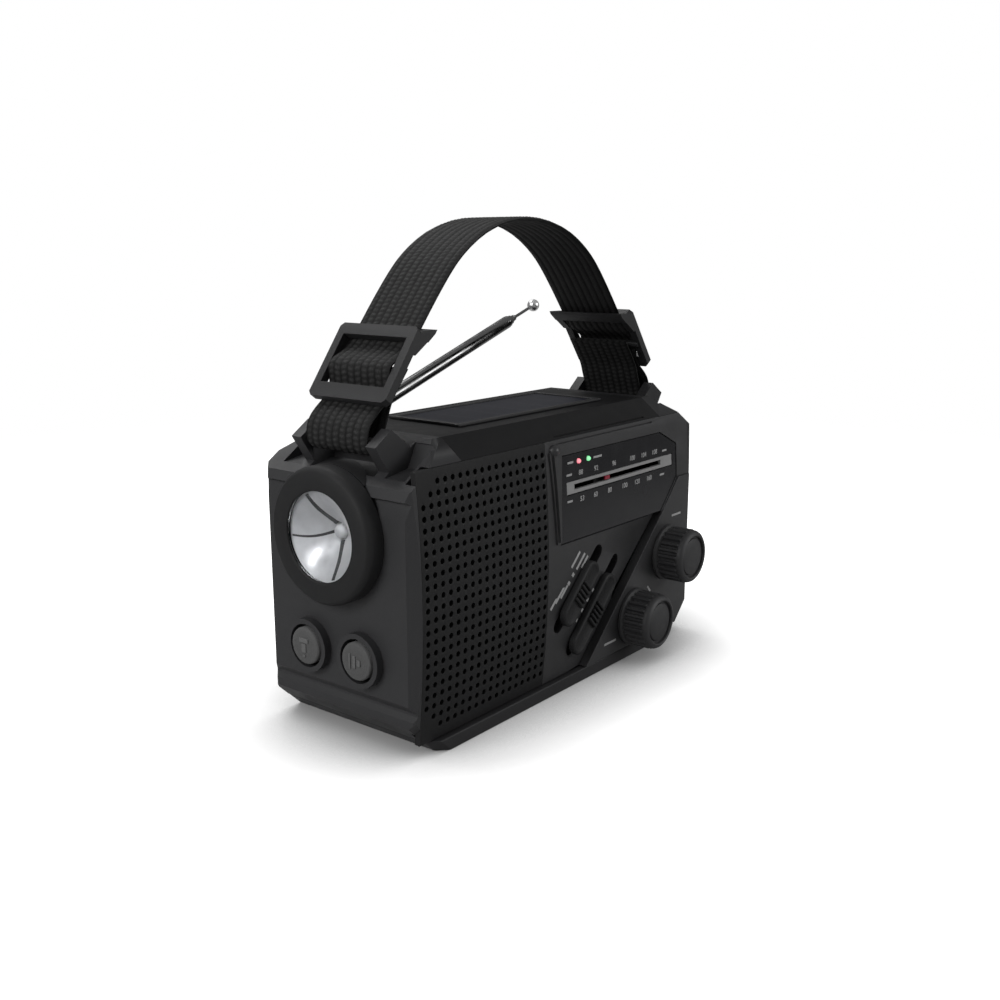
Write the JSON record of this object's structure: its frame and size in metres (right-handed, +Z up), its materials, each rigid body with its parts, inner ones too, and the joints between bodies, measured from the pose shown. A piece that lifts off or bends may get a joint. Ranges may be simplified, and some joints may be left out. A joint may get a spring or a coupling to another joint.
{
  "type": "emergency radio",
  "caption": "Box-shaped portable radio with webbing handle, end torch, top solar panel, folding hand crank, slide switches, knobs and telescopic antenna.",
  "frame": {"origin": "middle of the flat underside of the base tray", "axes": "+X to the right seen from the front, front faces -Y, +Z up"},
  "size_m": [0.1631, 0.0764, 0.1549],
  "materials": {
    "housing": "fine spark-eroded grain",
    "buckle": "moulded satin",
    "window": "glossy smoked",
    "scale": "printed",
    "pointer": "glossy",
    "red_lamp": "translucent",
    "green_lamp": "translucent",
    "soft_control": "soft touch",
    "board": "solder resist",
    "plated_steel": "zinc plated",
    "lens": "clear",
    "reflector": "vacuum metallised",
    "solar_cell": "laminated",
    "webbing": "ribbed weave",
    "antenna_chrome": "polished",
    "gear_nylon": "moulded",
    "magnet": "sintered",
    "cone_paper": "pressed paper",
    "cell_sleeve": "shrink sleeve"
  },
  "bodies": {
    "housing": {"base_tray": "housing", "top_cover": "housing", "rear_cover": "housing", "left_end_cap": "housing", "right_end_cap": "housing", "speaker_grille": "housing", "front_fascia": "housing", "knob_panel": "housing", "dial_window": "window", "dial_scale": "scale", "led_red": "red_lamp", "led_green": "green_lamp", "slide_switch_block": "board", "tuning_capacitor": "plated_steel", "volume_potentiometer": "plated_steel", "torch_bezel": "soft_control", "torch_lens": "lens", "torch_reflector": "reflector", "torch_board": "board", "port_block": "plated_steel", "solar_frame": "housing", "solar_panel": "solar_cell", "strap_bar_left": "plated_steel", "strap_bar_right": "plated_steel", "strap_webbing": "webbing", "buckle_left": "buckle", "buckle_right": "buckle", "dynamo_case": "plated_steel", "speaker_basket": "plated_steel", "speaker_cone": "cone_paper", "speaker_magnet": "magnet", "main_board": "board", "ferrite_rod": "magnet", "battery_cell": "cell_sleeve", "rear_screw_1": "plated_steel", "rear_screw_2": "plated_steel", "rear_screw_3": "plated_steel", "rear_screw_4": "plated_steel"},
    "pointer_carriage": {"dial_pointer": "pointer"},
    "tuning_control": {"tuning_knob": "soft_control"},
    "volume_control": {"volume_knob": "soft_control"},
    "band_switch": {"band_slider": "soft_control"},
    "function_switch": {"function_slider": "soft_control"},
    "torch_switch": {"torch_button": "soft_control"},
    "alarm_switch": {"alarm_button": "soft_control"},
    "port_flap": {"port_cover": "soft_control"},
    "battery_hatch": {"battery_door": "housing"},
    "antenna_swivel_foot": {"antenna_base": "plated_steel"},
    "antenna_section_1": {"antenna_tube_1": "antenna_chrome"},
    "antenna_section_2": {"antenna_tube_2": "antenna_chrome"},
    "antenna_section_3": {"antenna_tube_3": "antenna_chrome"},
    "antenna_section_4": {"antenna_tip": "antenna_chrome"},
    "crank": {"crank_arm": "housing", "crank_grip_pin": "plated_steel", "crank_shaft": "plated_steel", "crank_drive_gear": "gear_nylon"},
    "crank_grip": {"grip_spindle": "plated_steel"},
    "crank_sleeve": {"grip_sleeve": "soft_control"},
    "idler": {"idler_gear": "gear_nylon"},
    "generator_rotor": {"dynamo_rotor": "magnet"}
  },
  "joints": [
    {"name": "tuning_turn", "type": "hinge", "parent": "housing", "child": "tuning_control", "pos_m": [0.0594, -0.0322, 0.0344], "axis": [0, 1, 0], "range_deg": [-105, 195]},
    {"name": "pointer_slide", "type": "slide", "parent": "housing", "child": "pointer_carriage", "axis": [1, 0, 0], "range_m": [-0.0177, 0.0328]},
    {"name": "volume_turn", "type": "hinge", "parent": "housing", "child": "volume_control", "pos_m": [0.0369, -0.0322, 0.0152], "axis": [0, 1, 0], "range_deg": [-150, 150]},
    {"name": "band_slide", "type": "slide", "parent": "housing", "child": "band_switch", "axis": [0.729, 0, 0.6845], "range_m": [-0.0023, 0.0057]},
    {"name": "function_slide", "type": "slide", "parent": "housing", "child": "function_switch", "axis": [0.729, 0, 0.6845], "range_m": [-0.0005, 0.0075]},
    {"name": "torch_button_press", "type": "slide", "parent": "housing", "child": "torch_switch", "axis": [1, 0, 0], "range_m": [0, 0.001], "stiffness_N_per_m": 400},
    {"name": "alarm_button_press", "type": "slide", "parent": "housing", "child": "alarm_switch", "axis": [1, 0, 0], "range_m": [0, 0.001], "stiffness_N_per_m": 400},
    {"name": "port_flap_open", "type": "hinge", "parent": "housing", "child": "port_flap", "pos_m": [0.0784, 0, 0.0226], "axis": [0, 1, 0], "range_deg": [0, 110]},
    {"name": "battery_hatch_open", "type": "hinge", "parent": "housing", "child": "battery_hatch", "pos_m": [-0.0384, 0.0309, 0.0096], "axis": [-1, 0, 0], "range_deg": [0, 90]},
    {"name": "antenna_swivel", "type": "hinge", "parent": "housing", "child": "antenna_swivel_foot", "pos_m": [-0.0492, 0.028, 0.083], "axis": [0, 0, 1], "range_deg": [0, 165]},
    {"name": "antenna_fold", "type": "hinge", "parent": "antenna_swivel_foot", "child": "antenna_section_1", "pos_m": [-0.0492, 0.028, 0.088], "axis": [0, -1, 0], "range_deg": [-18.7, 71.3]},
    {"name": "antenna_extend_1", "type": "slide", "parent": "antenna_section_1", "child": "antenna_section_2", "axis": [0.9472, 0, 0.3206], "range_m": [0, 0.08]},
    {"name": "antenna_extend_2", "type": "slide", "parent": "antenna_section_2", "child": "antenna_section_3", "axis": [0.9472, 0, 0.3206], "range_m": [0, 0.08]},
    {"name": "antenna_extend_3", "type": "slide", "parent": "antenna_section_3", "child": "antenna_section_4", "axis": [0.9472, 0, 0.3206], "range_m": [0, 0.08]},
    {"name": "crank_turn", "type": "hinge", "parent": "housing", "child": "crank", "pos_m": [0.016, 0.022, 0.0445], "axis": [0, 1, 0], "continuous": true},
    {"name": "grip_fold", "type": "hinge", "parent": "crank", "child": "crank_grip", "pos_m": [0.016, 0.026, 0.0751], "axis": [1, 0, 0], "range_deg": [0, 90]},
    {"name": "grip_spin", "type": "hinge", "parent": "crank_grip", "child": "crank_sleeve", "pos_m": [0.016, 0.026, 0.065], "axis": [0, 0, 1], "continuous": true},
    {"name": "idler_spin", "type": "hinge", "parent": "housing", "child": "idler", "pos_m": [0.03678, 0.0115, 0.0325], "axis": [0, 1, 0], "continuous": true},
    {"name": "generator_spin", "type": "hinge", "parent": "housing", "child": "generator_rotor", "pos_m": [0.01946, 0.004, 0.0225], "axis": [0, 1, 0], "continuous": true}
  ],
  "couplings": [
    {"joint": "pointer_slide", "follows": "tuning_turn", "m_per_rad": 0.0096},
    {"joint": "idler_spin", "follows": "crank_turn", "ratio": -4},
    {"joint": "generator_spin", "follows": "crank_turn", "ratio": 16}
  ]
}
